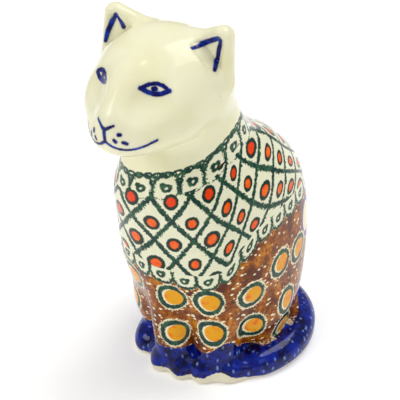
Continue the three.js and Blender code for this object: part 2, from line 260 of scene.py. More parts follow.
front_legs = mirrored(rod([9.5, -25.5, 62], [8.8, -25, 8], 10, 9.5))
haunches = mirrored(ellipsoid([21.5, 4, 26], [13.5, 26, 25], 8))
inner_toe = ellipsoid([4.9, -27.5, 3], [6, 9.5, 8.5])
outer_toe = ellipsoid([14.6, -25, 3], [6, 9, 8])
toes = join(1.5, mirrored(inner_toe), mirrored(outer_toe))
hind_paws = mirrored(ellipsoid([24.5, -13, 3], [7.5, 11, 8]))

bare_skull = join(
    7,
    join(
        8,
        ellipsoid([0, 1, -0.5], [26.6, 22, 19.8]),
        ellipsoid([0, -12, -1.5], [20.3, 19.5, 14]),  # brow
    ),
    mirrored(ellipsoid([11.5, -13, -7.5], [12, 14, 10.5])),  # cheeks
    ellipsoid([0.8, -24, -10], [14.5, 14.5, 9.5]),  # muzzle
    rod([0.5, -20, 6.5], [0.9, -31.5, -3], 4.6, 4.6),  # bridge of the nose
)
eye_sockets = mirrored(ellipsoid([14, -30.2, 5], [6, 6.5, 4.5]))
skull = moved(HEAD_MIDDLE, carve(7, bare_skull, eye_sockets))
left_ear = leaf([11.5, 7, 13], [24, 2, 2], [23.6, 4.5, 18.3], 4.3)
right_ear = leaf([-11.5, 7, 13], [-25.5, 1.5, 1], [-24.2, 4.5, 18.3], 4.3)
ears = moved(HEAD_MIDDLE, lambda p: np.minimum(left_ear(p), right_ear(p)))
hollow_leaf = leaf([14.6, 0, 12.2], [22, -1.6, 6], [23.2, 0.4, 16.6], 2.4)


def ear_hollow(p):
    lean = math.radians(EAR_LEAN)
    along = p[..., 0] * math.sin(lean) + p[..., 2] * math.cos(lean)
    return np.maximum(hollow_leaf(p), EAR_SEAM_DISTANCE + EAR_FLOOR - along)


ear_hollows = moved(HEAD_MIDDLE, mirrored(ear_hollow))

# Whole outsides, before they are cut into castings
legged_trunk = join(4, trunk_column, turned(BODY_TURN, front_legs))
trunk = join(3, legged_trunk, turned(BODY_TURN, haunches))
pawed_trunk = join(4, join(3, trunk, turned(BODY_TURN, toes), turned(BODY_TURN, hind_paws)), flange)
plain_cat = carve(1, join(7, join(3, pawed_trunk, tail_ridge), skull), below(0))
cat = carve(3, join(4, plain_cat, ears), ear_hollows)


def hollow_core(p):
    thick = join(7, trunk_column, skull)(p) + WALL
    return -blend_of(-thick, ears(p) - 1, 2)


cavity = carve(4, carve(4, hollow_core, below(CAVITY_FLOOR)), above(CAVITY_TOP))


def slope_of(shape, points, step=0.05):
    """The gradient of a distance function at each point."""
    slope = np.empty_like(points)
    for axis in range(3):
        offset = np.zeros(3, points.dtype)
        offset[axis] = step
        slope[:, axis] = (shape(points + offset) - shape(points - offset)) / (2 * step)
    return slope


def settle(shape, points, rounds=3):
    """Moves points onto the surface of a distance function, along its slope."""
    for _ in range(rounds):
        slope = slope_of(shape, points)
        steepness = np.maximum((slope * slope).sum(1), 0.25)
        points = points - slope * (shape(points) / steepness)[:, None]
    return points


def surface_of(shape, low, high, cell):
    """The surface of a distance function: one vertex in each grid cell that it crosses."""
    counts = [int((b - a) / cell) + 2 for a, b in zip(low, high)]
    rows, columns = (low[i] + cell * np.arange(counts[i], dtype=np.float32) for i in (1, 2))
    values = np.empty(counts, np.float32)
    slab = np.empty((counts[1], counts[2], 3), np.float32)
    slab[..., 1] = rows[:, None]
    slab[..., 2] = columns[None, :]
    for i in range(counts[0]):
        slab[..., 0] = low[0] + cell * i
        values[i] = shape(slab)
    inside = values < 0
    corners = [(i, j, k) for i in (0, 1) for j in (0, 1) for k in (0, 1)]
    nx, ny, nz = counts

    def corner_of(grid, corner):
        i, j, k = corner
        return grid[i:nx - 1 + i, j:ny - 1 + j, k:nz - 1 + k]

    full = sum(corner_of(inside, corner).astype(np.int8) for corner in corners)
    crossed = np.argwhere((full > 0) & (full < 8))
    index = np.full((nx - 1, ny - 1, nz - 1), -1)
    index[tuple(crossed.T)] = np.arange(len(crossed))
    total = np.zeros((len(crossed), 3))
    hits = np.zeros(len(crossed))
    for corner in corners:
        for axis in range(3):
            if corner[axis]:
                continue
            other = list(corner)
            other[axis] = 1
            a = values[tuple((crossed + corner).T)]
            b = values[tuple((crossed + other).T)]
            cuts = (a < 0) != (b < 0)
            place = np.tile(np.array(corner, float), (len(crossed), 1))
            place[:, axis] = np.where(cuts, a / np.where(cuts, a - b, 1), 0)
            total[cuts] += place[cuts]
            hits[cuts] += 1
    points = np.array(low) + cell * (crossed + total / hits[:, None])
    quads = []
    for axis in range(3):
        first = [slice(1, n - 1) for n in counts]
        second = list(first)
        first[axis] = slice(0, counts[axis] - 1)
        second[axis] = slice(1, counts[axis])
        crossing = np.argwhere(inside[tuple(first)] != inside[tuple(second)])
        start = crossing + [0 if i == axis else 1 for i in range(3)]
        u, v = (i for i in range(3) if i != axis)
        ring = []
        for du, dv in ((1, 1), (0, 1), (0, 0), (1, 0)):
            cells = start.copy()
            cells[:, u] -= du
            cells[:, v] -= dv
            ring.append(index[tuple(cells.T)])
        ring = np.stack(ring, 1)
        outward = inside[tuple(start.T)] == (axis != 1)
        ring[~outward] = ring[~outward][:, ::-1]
        quads.append(ring)
    return settle(shape, points.astype(np.float32)).astype(float), np.concatenate(quads)


def to_frame(points):
    """Millimetres from the trunk's axis to metres in the model's frame."""
    return (np.asarray(points, float) + np.array([*TRUNK_AXIS, 0])) / 1000


def to_axis(points):
    return np.asarray(points, float) * 1000 - np.array([*TRUNK_AXIS, 0])


def solid_of(name, points, faces):
    mesh = bpy.data.meshes.new(name)
    mesh.from_pydata(to_frame(points).tolist(), [], [list(face) for face in faces])
    mesh.validate()
    made = bpy.data.objects.new(name, mesh)
    bpy.context.scene.collection.objects.link(made)
    return made


def tool_of(name, fill):
    """A cutting tool: fill adds the solid to a bmesh, in millimetres from the trunk's axis."""
    shape = bmesh.new()
    fill(shape)
    bmesh.ops.recalc_face_normals(shape, faces=shape.faces)
    points = [list(v.co) for v in shape.verts]
    faces = [[v.index for v in face.verts] for face in shape.faces]
    shape.free()
    return solid_of(name, points, faces)


def block_tool(name, low, high, turn):
    middle = (Vector(low) + Vector(high)) / 2
    size = Vector(high) - Vector(low)
    matrix = turn @ Matrix.Translation(middle) @ Matrix.Diagonal((*size, 1))
    return tool_of(name, lambda shape: bmesh.ops.create_cube(shape, size=1, matrix=matrix))


def ball_tool(name, middle, radii):
    matrix = Matrix.Translation(middle) @ Matrix.Diagonal((*radii, 1))
    return tool_of(name, lambda shape: bmesh.ops.create_uvsphere(
        shape, u_segments=48, v_segments=24, radius=1, matrix=matrix))


def disc_tool(name, radii, low, high):
    middle = (*FOOT_MIDDLE, (low + high) / 2)
    matrix = Matrix.Translation(middle) @ Matrix.Diagonal((*radii, high - low, 1))
    return tool_of(name, lambda shape: bmesh.ops.create_cone(
        shape, cap_ends=True, segments=96, radius1=1, radius2=1, depth=1, matrix=matrix))


def tail_tool(name):
    """The crescent of the flange that belongs to the tail, seen from above."""
    steps = 48
    reach = 1.3 * max(FOOT_RADII)
    angles = np.radians(np.linspace(TAIL_TIP_ANGLE, TAIL_ROOT_ANGLE, steps))
    x, y = FOOT_MIDDLE
    outer = [(x + reach * math.cos(a), y + reach * math.sin(a)) for a in angles]
    inner = [(x - 2 + TAIL_BED[0] * math.cos(a), y + TAIL_BED[1] * math.sin(a)) for a in angles[::-1]]
    outline = outer + inner
    n = len(outline)
    levels = (FOOT_HEIGHT, FOOT_HEIGHT + TAIL_BED_HEIGHT)
    points = [(*place, level) for level in levels for place in outline]
    faces = [[i, (i + 1) % n, n + (i + 1) % n, n + i] for i in range(n)]
    faces += [list(range(n))[::-1], list(range(n, 2 * n))]
    return solid_of(name, points, faces)


def cut(target, tool, operation):
    """Joins, cuts or crops a solid with a tool, and leaves a plain mesh."""
    modifier = target.modifiers.new("cut", "BOOLEAN")
    modifier.operation = operation
    modifier.solver = "MANIFOLD"
    modifier.object = tool
    graph = bpy.context.evaluated_depsgraph_get()
    result = bpy.data.meshes.new_from_object(target.evaluated_get(graph))
    target.modifiers.clear()
    old = target.data
    target.data = result
    bpy.data.meshes.remove(old)
    return target


def copy_of(source, name):
    made = bpy.data.objects.new(name, source.data.copy())
    bpy.context.scene.collection.objects.link(made)
    return made


def smooth_normals(piece):
    """Shades the outside by the slope of the whole cat, so a seam between castings doesn't show."""
    mesh = piece.data
    count = len(mesh.vertices)
    places = np.empty(3 * count, np.float32)
    mesh.vertices.foreach_get("co", places)
    places = to_axis(places.reshape(-1, 3)).astype(np.float32)
    outside = np.abs(cat(places)) < OUTSIDE_TOLERANCE
    slope = slope_of(cat, places)
    slope /= np.linalg.norm(slope, axis=1)[:, None] + TINY
    corners = np.empty(len(mesh.loops), np.int32)
    mesh.loops.foreach_get("vertex_index", corners)
    starts = np.empty(len(mesh.polygons), np.int32)
    mesh.polygons.foreach_get("loop_start", starts)
    totals = np.empty(len(mesh.polygons), np.int32)
    mesh.polygons.foreach_get("loop_total", totals)
    flat = np.empty(3 * len(mesh.polygons), np.float32)
    mesh.polygons.foreach_get("normal", flat)
    flat = flat.reshape(-1, 3)
    face_of = np.repeat(np.arange(len(totals)), totals)
    shown = np.logical_and.reduceat(outside[corners], starts)
    close = (slope[corners] * flat[face_of]).sum(1) > SHARP_EDGE_COSINE
    smooth = shown[face_of] & close
    normals = np.where(smooth[:, None], slope[corners], flat[face_of])
    mesh.shade_smooth()
    mesh.normals_split_custom_set(normals.tolist())


outside = solid_of("outside", *surface_of(cat, *CAT_BOX, FINE_CELL))
hollow = solid_of("hollow", *surface_of(cavity, *CAVITY_BOX, CAVITY_CELL))
head_tool = block_tool(
    "head_tool", (-60, -80, 0), (60, 60, 90),
    Matrix.Translation(NECK_SEAM_MIDDLE) @ Matrix.Rotation(math.radians(NECK_SEAM_NOD), 4, "X"),
)
foot_tool = block_tool("foot_tool", (-60, -80, -5), (60, 80, FOOT_HEIGHT), Matrix.Identity(4))
crescent = tail_tool("tail_tool")
body_turn = Matrix.Rotation(math.radians(BODY_TURN), 4, "Z")
axis_foot = Vector(to_frame((0, 0, 0)))
turn_about_axis = Matrix.Translation(axis_foot) @ body_turn @ Matrix.Translation(-axis_foot)
sides = {"right": -1, "left": 1}
ear_tools = {}
front_tools = {}
hind_tools = {}
for side, sign in sides.items():
    ear_turn = Matrix.Translation(HEAD_MIDDLE) @ Matrix.Rotation(math.radians(sign * EAR_LEAN), 4, "Y")
    ear_tools[side] = block_tool(
        "ear_tool", (-14, -16, EAR_SEAM_DISTANCE), (14, 18, EAR_SEAM_DISTANCE + 20), ear_turn)
    front_tools[side] = ball_tool(
        "front_tool", (sign * FRONT_PAW_CUT[0][0], *FRONT_PAW_CUT[0][1:]), FRONT_PAW_CUT[1])
    half = block_tool("half", (0, -90, -20), (90, 90, 60), Matrix.Rotation(math.pi * (sign < 0), 4, "Z"))
    cut(front_tools[side], half, "INTERSECT")
    hind_tools[side] = ball_tool(
        "hind_tool", (sign * HIND_PAW_CUT[0][0], *HIND_PAW_CUT[0][1:]), HIND_PAW_CUT[1])
    for tool in (front_tools[side], hind_tools[side]):
        tool.data.transform(turn_about_axis)

pieces = {}
foot = copy_of(outside, "foot")
cut(foot, foot_tool, "INTERSECT")
recess_radii = [radius - FOOT_RING_WIDTH for radius in FOOT_RADII]
cut(foot, disc_tool("recess", recess_radii, -1, FOOT_RECESS_DEPTH), "DIFFERENCE")
cut(foot, disc_tool("drain", (DRAIN_RADIUS, DRAIN_RADIUS), -2, FOOT_HEIGHT + 2), "DIFFERENCE")
pieces["foot_disc"] = foot
cut(outside, foot_tool, "DIFFERENCE")
for side in sides:
    for paw, tool in (("front_paw_", front_tools[side]), ("hind_paw_", hind_tools[side])):
        whole_paw = cut(copy_of(outside, "paw"), tool, "INTERSECT")
        pieces[paw + side] = cut(whole_paw, crescent, "DIFFERENCE")
pieces["tail"] = cut(copy_of(outside, "tail"), crescent, "INTERSECT")
shell = cut(outside, hollow, "DIFFERENCE")
for tool in (*front_tools.values(), *hind_tools.values(), crescent):
    cut(shell, tool, "DIFFERENCE")
pieces["body_shell"] = cut(copy_of(shell, "body"), head_tool, "DIFFERENCE")
head = cut(copy_of(shell, "head"), head_tool, "INTERSECT")
for side in sides:
    pieces["ear_" + side] = cut(copy_of(head, "ear"), ear_tools[side], "INTERSECT")
for side in sides:
    cut(head, ear_tools[side], "DIFFERENCE")
pieces["head_shell"] = head
tools = [head_tool, foot_tool, crescent, hollow, shell]
tools += [*ear_tools.values(), *front_tools.values(), *hind_tools.values()]
tools += [o for o in bpy.data.objects if o.name.split(".")[0] in ("half", "recess", "drain")]
for tool in tools:
    bpy.data.objects.remove(tool)
for piece in pieces.values():
    smooth_normals(piece)

EDGE_SOFTNESS = 0.22  # half the width of a painted edge, in millimetres

# Painted lines against the angle round the trunk: 0 is the front, and plus is the cat's left. Each is a
# height, but for COLUMNS and the POSTS, which count cells, and SHOULDER_SKEW, which is an angle.
COLLAR = [(-180, 112), (-140, 110), (-100, 105), (-65, 98), (-30, 94), (0, 97), (30, 103), (50, 109),
          (80, 113), (180, 112)]
FIRST_ROW = [(-180, 102), (-130, 98), (-80, 90), (-25, 86.5), (0, 88.5), (25, 91.5), (45, 95.5), (60, 100),
             (100, 102.5), (180, 102)]
FOURTH_ROW = [(-180, 85), (-130, 82), (-85, 72), (-45, 61.5), (-15, 59.5), (10, 61), (35, 65), (55, 74),
              (75, 79), (105, 86), (140, 87), (180, 85)]
COLUMNS = [(-180, -7.4), (-15, -0.5), (0, 0), (25, 1), (45, 2), (62, 3), (90, 4), (180, 7.6)]
SHOULDER_SKEW = [(-180, 0), (70, 0), (85, 5), (105, 14), (125, 19), (150, 12), (180, 0)]
COLLAR_POSTS = [(-180, -10.4), (-17, 0), (18, 2), (48, 4), (85, 6), (180, 11.6)]
HEM = [(-180, 66), (-100, 65), (-70, 62), (-45, 56), (-25, 51.5), (0, 50), (25, 48.5), (40, 51), (55, 60),
       (65, 65), (80, 67), (180, 66)]
HEM_POSTS = [(-180, -12.4), (-5, 0), (25, 2), (52, 4), (77, 6), (107, 8), (180, 12.6)]
COBALT_TOP = [(-180, 9), (-60, 11), (-30, 16), (-16, 22), (-8, 15), (5, 15), (14, 11), (30, 16), (40, 20),
              (46, 19), (52, 14), (70, 11), (100, 11), (140, 9), (180, 9)]
CREAM_TOP = [(-180, 3.5), (-60, 3), (-25, 2), (-5, 3.5), (10, 3), (26, 4), (36, 6.5), (45, 3.5), (180, 3.5)]
ROW_HEIGHT = 9.4
COLUMN_WIDTH = 15.2
LATTICE_SPACING = 11.3  # between parallel lines
LATTICE_LINE = 0.92  # half the width of a line
CHAIN_LINKS = 54
ARCH_WIDTH = 7.6
ARCH_HEIGHT = 5.6
HEM_CELL_WIDTH = 9.0
HEM_CELL_HEIGHT = 6
DOT_RING_RADIUS = 3.2
DOT_EDGE_RADIUS = 2.05
DOT_RADIUS = 1.8
LINE_HALF_WIDTH = 0.6
ELSEWHERE = 9  # added to a distance to keep a pattern out of a place
FACE_FRONT = -12  # the face's strokes stay in front of this depth

# Colours as screen values from 0 to 255
PAINTS = {
    "cream": (236, 233, 200),
    "thick cream": (231, 227, 186),
    "speck": (170, 150, 90),
    "face ink": (0, 0, 84),
    "thin face ink": (8, 56, 170),
    "ink halo": (120, 130, 170),
    "green": (14, 56, 46),
    "thin green": (52, 104, 66),
    "deep green": (4, 28, 44),
    "dress ground": (233, 232, 204),
    "dress shade": (226, 226, 194),
    "dot ring": (12, 48, 38),
    "dot edge": (96, 36, 4),
    "orange": (238, 82, 4),
    "pale orange": (244, 110, 30),
    "red": (232, 62, 2),
    "dark brown": (84, 32, 0),
    "brown": (140, 70, 0),
    "amber brown": (200, 124, 4),
    "burnt brown": (50, 14, 0),
    "brown fleck": (246, 232, 192),
    "eye cream": (238, 226, 190),
    "petal edge": (14, 24, 130),
    "yolk": (230, 160, 0),
    "yolk blush": (234, 110, 4),
    "cobalt": (0, 0, 54),
    "thin cobalt": (6, 34, 146),
    "cobalt fleck": (140, 170, 226),
    "fringe": (232, 218, 180),
    "rim cream": (226, 220, 194),
    "clay": (204, 190, 160),
    "dark clay": (188, 172, 140),
}

# Eye-shaped rings: angle round the trunk and height. Those on the far side and back alternate in two rows.
SEEN_EYES = [(7, 42), (31, 42), (60, 41), (6, 23), (32, 26), (62, 23), (95, 27), (93, 14), (86, 49),
             (109, 48), (-27, 44), (-36, 58)]
HIDDEN_EYES = [(-46 - 13 * i, 45 if i % 2 else 26) for i in range(15)]
EYES = SEEN_EYES + HIDDEN_EYES
EYE_FLATNESS = 0.96
EYE_RADIUS = 6.3
YOLK_RADIUS = 3.9
YOLK_SHIFT = 0.8
PETAL = (123, 58)
PETAL_RADIUS = 5.6

INK_SPREAD = 0.15  # how far the brush's colour spreads past each stroke


def arc(start, end, bulge, weight, steps=4):
    """A brush stroke of one weight between two places seen from the front, bulging upwards."""
    places = []
    for t in np.linspace(0, 1, steps + 1):
        across = start[0] + (end[0] - start[0]) * t
        height = start[1] + (end[1] - start[1]) * t + 4 * bulge * t * (1 - t)
        places.append((across, height, weight))
    return places


# Brush strokes. On the face: across, height and half width. On the ears: depth comes after across.
STROKES = [
    arc((6, 139), (14.6, 137.8), 1.7, 0.65),
    arc((6, 139), (14.6, 137.8), -1.7, 0.8),
    arc((-8.8, 138.5), (-16.8, 138.7), 1.5, 0.8),
    arc((-8.8, 138.5), (-16.8, 138.7), -1.5, 0.9),
    [(9.7, 138.4, 0.9), (10.2, 138.4, 0.9)],
    [(-12.5, 138.9, 1), (-12.5, 138.1, 1)],
    [(-4.5, 130, 0.4), (-3, 129, 0.5), (-1, 127, 0.65)],
    [(2.5, 129, 0.35), (0.5, 128, 0.5), (-1, 127, 0.65)],
    [(-1, 127.5, 0.7), (-0.5, 123, 0.6)],
    arc((-0.5, 123), (14.5, 122.6), -2.6, 0.43, steps=6),
    arc((-0.5, 123), (-13, 124.5), -3.1, 0.45, steps=6),
    [(4.4, 126, 0.65), (4.8, 126, 0.65)],
    [(3, 124, 0.55), (3.5, 123.5, 0.6)],
    [(6, 123.3, 0.55), (7, 122.8, 0.6)],
    [(-6.5, 125.5, 0.7), (-6.5, 125, 0.7)],
    [(-5.5, 123.2, 0.5), (-5, 122.5, 0.5)],
    [(-8.5, 123.5, 0.5), (-8.2, 122.7, 0.5)],
    [(13.5, -25, 147, 0.6), (15, -20, 147.2, 1), (18.5, -20, 149, 1), (22, -20.5, 150.5, 1),
     (21.3, -20, 146, 0.9), (21, -21, 142, 0.9), (22, -24, 140, 0.6)],
    [(-27.5, -23, 141, 0.7), (-27, -21.5, 144.5, 0.9), (-26, -19.5, 148, 0.9), (-23.5, -20.5, 151, 0.8),
     (-22.5, -19.5, 149, 1), (-21.2, -19.5, 146.6, 1)],
]


class Value:
    """A number that varies over the surface: a socket, with arithmetic that adds nodes to its tree."""

    def __init__(self, socket):
        self.socket = socket

    def __add__(self, other):
        return maths("ADD", self, other)

    def __sub__(self, other):
        return maths("SUBTRACT", self, other)

    def __rsub__(self, other):
        return maths("SUBTRACT", other, self)

    def __mul__(self, other):
        return maths("MULTIPLY", self, other)

    def __truediv__(self, other):
        return maths("DIVIDE", self, other)


def feed(tree, socket, value):
    """Links a value or socket to an input, or sets the input."""
    if isinstance(value, Value):
        value = value.socket
    if isinstance(value, bpy.types.NodeSocket):
        tree.links.new(value, socket)
    else:
        socket.default_value = value


def tree_of(values):
    return next(v.socket.id_data for v in values if isinstance(v, Value))


def maths(operation, *values, clamp=False):
    tree = tree_of(values)
    node = tree.nodes.new("ShaderNodeMath")
    node.operation = operation
    node.use_clamp = clamp
    for socket, value in zip(node.inputs, values):
        feed(tree, socket, value)
    return Value(node.outputs[0])


def vector_maths(operation, *values, output=0):
    tree = tree_of(values)
    node = tree.nodes.new("ShaderNodeVectorMath")
    node.operation = operation
    sockets = list(node.inputs)
    if operation == "SCALE":
        sockets[1] = node.inputs["Scale"]
    for socket, value in zip(sockets, values):
        feed(tree, socket, value)
    return Value(node.outputs[output])


def smallest(*values):
    result = values[0]
    for value in values[1:]:
        result = maths("MINIMUM", result, value)
    return result


def largest(*values):
    result = values[0]
    for value in values[1:]:
        result = maths("MAXIMUM", result, value)
    return result


def size_of(value):
    return maths("ABSOLUTE", value)


def step_up(value, low, high):
    """0 below low, 1 above high, and a smooth step between them."""
    tree = value.socket.id_data
    node = tree.nodes.new("ShaderNodeMapRange")
    node.interpolation_type = "SMOOTHSTEP"
    feed(tree, node.inputs["Value"], value)
    feed(tree, node.inputs["From Min"], low)
    feed(tree, node.inputs["From Max"], high)
    return Value(node.outputs["Result"])


def within(distance, reach, soft=EDGE_SOFTNESS):
    """1 where a distance is less than the reach, with a soft edge."""
    return 1 - step_up(distance, reach - soft, reach + soft)


def curve_of(x, knots, x_range, y_range):
    """A smooth curve through knots."""
    tree = x.socket.id_data
    node = tree.nodes.new("ShaderNodeFloatCurve")
    points = node.mapping.curves[0].points
    scaled = [((a - x_range[0]) / (x_range[1] - x_range[0]), (b - y_range[0]) / (y_range[1] - y_range[0]))
              for a, b in knots]
    while len(points) < len(scaled):
        points.new(0.5, 0.5)
    for point, (a, b) in zip(points, scaled):
        point.location = (a, b)
        point.handle_type = "AUTO"
    node.mapping.use_clip = False
    node.mapping.update()
    feed(tree, node.inputs["Value"], (x - x_range[0]) / (x_range[1] - x_range[0]))
    return Value(node.outputs[0]) * (y_range[1] - y_range[0]) + y_range[0]


def noise_of(point, size, detail=2.0, rough=0.5, centred=True):
    """Soft noise with features of a size in millimetres, from -0.5 to 0.5, or from 0 to 1."""
    tree = point.socket.id_data
    node = tree.nodes.new("ShaderNodeTexNoise")
    feed(tree, node.inputs["Vector"], point)
    node.inputs["Scale"].default_value = 1 / size
    node.inputs["Detail"].default_value = detail
    node.inputs["Roughness"].default_value = rough
    value = Value(node.outputs["Fac"])
    return value - 0.5 if centred else value


def cells_of(point, size, jitter=1.0):
    """Distance to the nearest of scattered points, in millimetres, and a random number for each."""
    tree = point.socket.id_data
    node = tree.nodes.new("ShaderNodeTexVoronoi")
    feed(tree, node.inputs["Vector"], point)
    node.inputs["Scale"].default_value = 1 / size
    node.inputs["Randomness"].default_value = jitter
    return Value(node.outputs["Distance"]) * size, channels(node.outputs["Color"], "RGB")[0]


def chance(a, b):
    """A random number for each pair of whole numbers."""
    tree = a.socket.id_data
    node = tree.nodes.new("ShaderNodeTexWhiteNoise")
    node.noise_dimensions = "2D"
    feed(tree, node.inputs["Vector"], point_of(a, b, 0.0))
    return Value(node.outputs["Value"])


def channels(socket, kind="XYZ"):
    socket = socket.socket if isinstance(socket, Value) else socket
    tree = socket.id_data
    node = tree.nodes.new("ShaderNodeSeparateXYZ" if kind == "XYZ" else "ShaderNodeSeparateColor")
    tree.links.new(socket, node.inputs[0])
    return [Value(output) for output in node.outputs]


def point_of(x, y, z):
    tree = tree_of((x, y, z))
    node = tree.nodes.new("ShaderNodeCombineXYZ")
    for socket, value in zip(node.inputs, (x, y, z)):
        feed(tree, socket, value)
    return Value(node.outputs[0])


def blend(amount, under, over):
    """One colour over another, by an amount from 0 to 1."""
    tree = amount.socket.id_data
    node = tree.nodes.new("ShaderNodeMix")
    node.data_type = "RGBA"
    factor, first, second = (next(s for s in node.inputs if s.identifier == name)
                             for name in ("Factor_Float", "A_Color", "B_Color"))
    feed(tree, factor, amount)
    feed(tree, first, under)
    feed(tree, second, over)
    return Value(next(s for s in node.outputs if s.identifier == "Result_Color"))


def colour(name):
    """One of the paints, as the linear numbers that a shader takes."""
    linear = [(v / 255 / 12.92) if v / 255 <= 0.04045 else ((v / 255 + 0.055) / 1.055) ** 2.4
              for v in PAINTS[name]]
    return (*linear, 1.0)


def trunk_place(angle, height):
    """The point of the cat's surface at an angle round the trunk and a height."""
    direction = np.array([math.sin(math.radians(angle)), -math.cos(math.radians(angle)), 0])
    reach = np.arange(0, 60, 0.1)
    line = np.array([0, 0, height]) + reach[:, None] * direction
    return line[np.argmax(cat(line.astype(np.float32)) > 0)]


def face_place(across, height):
    """The point of the face at a place seen from the front."""
    depth = np.arange(-75, -5, 0.1)
    line = np.stack([np.full_like(depth, across), depth, np.full_like(depth, height)], 1)
    return line[np.argmax(cat(line.astype(np.float32)) < 0)]


def near_place(across, depth, height):
    """The point of the surface nearest to a place."""
    return settle(cat, np.array([[across, depth, height]], np.float32))[0].astype(float)


def stroke_distance(point, start, end):
    """Distance to the edge of a brush stroke between two points, each with its half width."""
    start_place, end_place = (face_place(*tip[:-1]) if len(tip) == 3 else near_place(*tip[:-1])
                              for tip in (start, end))
    line = end_place - start_place
    offset = vector_maths("SUBTRACT", point, tuple(start_place))
    along = maths("MULTIPLY", vector_maths("DOT_PRODUCT", offset, tuple(line), output=1), 1 / (line @ line),
                  clamp=True)
    gap = vector_maths("SUBTRACT", offset, vector_maths("SCALE", tuple(line), along))
    width = along * (end[-1] - start[-1]) + start[-1]
    return vector_maths("LENGTH", gap, output=1) - width


def nearest(point, places):
    """Distance to the nearest of some places."""
    return smallest(*(vector_maths("DISTANCE", point, tuple(place), output=1) for place in places))


class Decoration:
    """The underglaze painting, as colours of the place on the cat."""

    def __init__(self, tree):
        place = tree.nodes.new("ShaderNodeTexCoord").outputs["Object"]
        metres = vector_maths("SUBTRACT", Value(place), (*(v / 1000 for v in TRUNK_AXIS), 0))
        self.point = vector_maths("SCALE", metres, 1000.0)
        self.x, self.y, self.z = channels(self.point)
        self.angle = maths("ARCTAN2", self.x, 0 - self.y) * (180 / math.pi)
        self.coarse = noise_of(self.point, 3.0)
        self.ragged = noise_of(self.point, 0.8, detail=1.0)

    def height_curve(self, knots):
        return curve_of(self.angle, knots, (-180, 180), (0, 160))

    def count_curve(self, knots):
        return curve_of(self.angle, knots, (-180, 180), (-16, 16))

    def cream(self):
        """Cream glaze, a little warmer where it lies thick, with a few fine specks."""
        cloud = noise_of(self.point, 14, detail=3, centred=False)
        ground = blend(step_up(cloud, 0.35, 0.7), colour("cream"), colour("thick cream"))
        speck, pick = cells_of(self.point, 5.0)
        shown = within(speck, 0.22, 0.1) * step_up(pick, 0.8, 0.81) * 0.5
        return blend(shown, ground, colour("speck"))

    def face(self, under):
        strokes = [stroke_distance(self.point, start, end)
                   for stroke in STROKES for start, end in zip(stroke, stroke[1:])]
        ink = smallest(*strokes) + self.ragged * 0.4 - INK_SPREAD
        shade = blend(step_up(self.coarse, -0.08, 0.24), colour("face ink"), colour("thin face ink"))
        front = within(self.y, FACE_FRONT, 1)
        halo = within(ink, 0.5, 0.9) * 0.18 * front
        return blend(within(ink, 0, 0.3) * front, blend(halo, under, colour("ink halo")), shade)

    def green(self):
        tone = noise_of(self.point, 2.2, detail=3, rough=0.7)
        mixed = blend(step_up(tone, -0.06, 0.22), colour("green"), colour("thin green"))
        return blend(step_up(tone, -0.1, -0.3), mixed, colour("deep green"))

    def ring(self, u, v, radius, width=0.42):
        return size_of(maths("SQRT", u * u + v * v) - radius) - width

    def dress(self, under, over):
        """White ground with a chain collar, arches, a lattice of dotted lozenges and a scalloped hem."""
        collar = self.height_curve(COLLAR)
        depth = collar - self.z + self.coarse * 0.5
        hem = self.height_curve(HEM)
        rise = self.z - hem + self.coarse * 0.5
        first = self.height_curve(FIRST_ROW)
        fourth = self.height_curve(FOURTH_ROW)
        row = (first - self.z) * 3 / (first - fourth) + self.coarse * 0.06
        skew = curve_of(self.angle, SHOULDER_SKEW, (-180, 180), (0, 40)) * step_up(self.z, 86, 104)
        column = curve_of(self.angle - skew, COLUMNS, (-180, 180), (-16, 16)) + self.coarse * 0.05
        a = column + row * 0.5
        b = column - row * 0.5

        # Lattice lines
        lines = smallest(*(size_of(v - maths("ROUND", v)) for v in (a, b))) * LATTICE_SPACING - LATTICE_LINE
        in_lattice = step_up(depth, 7.4, 8.2) * step_up(rise, 6.6, 7.4)
        lines = lines + (1 - in_lattice) * ELSEWHERE

        # A dot in each lozenge, red with a dark ring
        cell_a = maths("FLOOR", a)
        cell_b = maths("FLOOR", b)
        luck = chance(cell_a, cell_b)
        da = a - cell_a - 0.5
        db = b - cell_b - 0.5
        across = (da + db) * (0.5 * COLUMN_WIDTH)
        down = (da - db - 0.15) * ROW_HEIGHT
        dot = maths("SQRT", across * across + down * down * 0.9) * (luck * 0.3 + 0.85)
        upper = within(row, 0.62, 0.05)
        in_dots = step_up(depth, 5.6, 6.4) * step_up(rise, 6.2, 7.0)
        dot = dot + (1 - in_dots) * ELSEWHERE - upper * 0.1 + self.ragged * 0.7

        # Arches under the collar, each with a curl
        arch = self.count_curve(COLLAR_POSTS)
        u = (arch - maths("FLOOR", arch) - 0.5) * ARCH_WIDTH
        arch_lines = self.scallop(u, depth, ARCH_WIDTH, ARCH_HEIGHT)
        arch_lines = largest(arch_lines, depth - 8.4)
        swag = size_of(depth - 8.0 - (1 - u * u * (4 / ARCH_WIDTH ** 2)) * 1.3) - 0.42
        arch_curl = smallest(
            self.ring(u - 0.2, depth - 5.2, 1.05, 0.6),
            self.ring(u + 0.9, depth - 4.0, 0, 0.95),
        )

        # The chain along the neck
        wave = maths("SINE", self.angle * (math.pi * CHAIN_LINKS / 360))
        chain = size_of(size_of(depth) - size_of(wave) * 0.95) - LINE_HALF_WIDTH

        # The scalloped hem, each scallop with a curl
        scallops = self.count_curve(HEM_POSTS)
        w = (scallops - maths("FLOOR", scallops) - 0.5) * HEM_CELL_WIDTH
        hem_lines = largest(self.scallop(w, rise, HEM_CELL_WIDTH, HEM_CELL_HEIGHT), rise - 7.2)
        hem_curl = smallest(
            self.ring(w + 0.2, rise - 3.8, 1.1, 0.6),
            self.ring(w - 1.1, rise - 4.8, 0, 0.9),
        )

